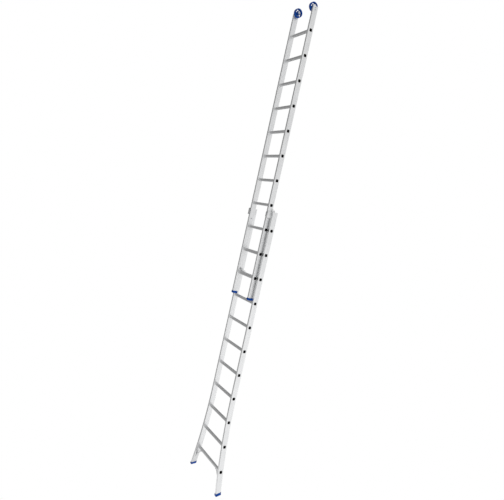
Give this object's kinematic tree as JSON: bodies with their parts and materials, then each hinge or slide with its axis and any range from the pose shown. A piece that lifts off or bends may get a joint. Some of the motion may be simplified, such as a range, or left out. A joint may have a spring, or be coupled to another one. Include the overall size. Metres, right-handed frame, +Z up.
{
  "type": "extension ladder",
  "caption": "Two-section push-up extension ladder, shown extended: hollow aluminium stiles flared at the foot, square rungs, feet, rung hooks and wall wheels.",
  "frame": {"origin": "on the floor under the middle of the ladder's bounding box, between the two feet", "axes": "+X across the ladder to its right stile as the climber sees it, +Y from the climber's side to the wall side, +Z up along the stiles; the ladder is modelled upright, so a scene leans it by turning it about X"},
  "size_m": [0.726, 0.1334, 5.619],
  "materials": {
    "stile_aluminium": "mill-finish extrusion",
    "rung_aluminium": "mill-finish extrusion with ribbed treads",
    "fitting_aluminium": "satin pressed fitting",
    "rivet_aluminium": "satin",
    "zinc_steel": "zinc plated",
    "blue_plastic": "moulded, semi-gloss",
    "black_plastic": "moulded",
    "grey_plastic": "moulded nylon",
    "bush_brass": "turned"
  },
  "bodies": {
    "lower_section": {"lower_stile_left": "stile_aluminium", "lower_stile_right": "stile_aluminium", "lower_rung_01": "rung_aluminium", "lower_rung_02": "rung_aluminium", "lower_rung_03": "rung_aluminium", "lower_rung_04": "rung_aluminium", "lower_rung_05": "rung_aluminium", "lower_rung_06": "rung_aluminium", "lower_rung_07": "rung_aluminium", "lower_rung_08": "rung_aluminium", "lower_rung_09": "rung_aluminium", "lower_rung_10": "rung_aluminium", "lower_rung_11": "rung_aluminium", "lower_rung_plugs": "black_plastic", "foot_left": "blue_plastic", "foot_right": "blue_plastic", "brace_left": "fitting_aluminium", "brace_right": "fitting_aluminium", "brace_rivets": "rivet_aluminium", "guide_bracket_left": "fitting_aluminium", "guide_bracket_right": "fitting_aluminium", "guide_pad_left": "grey_plastic", "guide_pad_right": "grey_plastic", "guide_rivets": "rivet_aluminium"},
    "upper_section": {"upper_stile_left": "stile_aluminium", "upper_stile_right": "stile_aluminium", "upper_rung_01": "rung_aluminium", "upper_rung_02": "rung_aluminium", "upper_rung_03": "rung_aluminium", "upper_rung_04": "rung_aluminium", "upper_rung_05": "rung_aluminium", "upper_rung_06": "rung_aluminium", "upper_rung_07": "rung_aluminium", "upper_rung_08": "rung_aluminium", "upper_rung_09": "rung_aluminium", "upper_rung_10": "rung_aluminium", "upper_rung_11": "rung_aluminium", "upper_rung_plugs": "black_plastic", "end_cap_left": "blue_plastic", "end_cap_right": "blue_plastic", "wheel_bracket_left": "fitting_aluminium", "wheel_bracket_right": "fitting_aluminium", "wheel_bracket_bolts": "zinc_steel", "wheel_bracket_nuts": "zinc_steel", "axle_left": "zinc_steel", "axle_right": "zinc_steel", "axle_washers": "zinc_steel", "axle_nuts": "zinc_steel", "hook_bolts": "zinc_steel", "hook_nuts": "zinc_steel", "stop_bolts": "zinc_steel", "stop_nuts": "zinc_steel"},
    "wheel_left": {"wheel_left": "blue_plastic", "wheel_bush_left": "bush_brass"},
    "wheel_right": {"wheel_right": "blue_plastic", "wheel_bush_right": "bush_brass"},
    "hook_left": {"hook_left": "fitting_aluminium"},
    "hook_right": {"hook_right": "fitting_aluminium"}
  },
  "joints": [
    {"name": "section_slide", "type": "slide", "parent": "lower_section", "child": "upper_section", "axis": [0, 0, 1], "range_m": [-2.24, 0.035]},
    {"name": "wheel_left_spin", "type": "hinge", "parent": "upper_section", "child": "wheel_left", "pos_m": [-0.143, -0.01675, 5.569], "axis": [1, 0, 0], "continuous": true},
    {"name": "wheel_right_spin", "type": "hinge", "parent": "upper_section", "child": "wheel_right", "pos_m": [0.143, -0.01675, 5.569], "axis": [1, 0, 0], "continuous": true},
    {"name": "hook_left_pivot", "type": "hinge", "parent": "upper_section", "child": "hook_left", "pos_m": [-0.1605, -0.00675, 2.547], "axis": [1, 0, 0], "range_deg": [0, 140]},
    {"name": "hook_right_pivot", "type": "hinge", "parent": "upper_section", "child": "hook_right", "pos_m": [0.1605, -0.00675, 2.547], "axis": [1, 0, 0], "range_deg": [0, 140]}
  ]
}
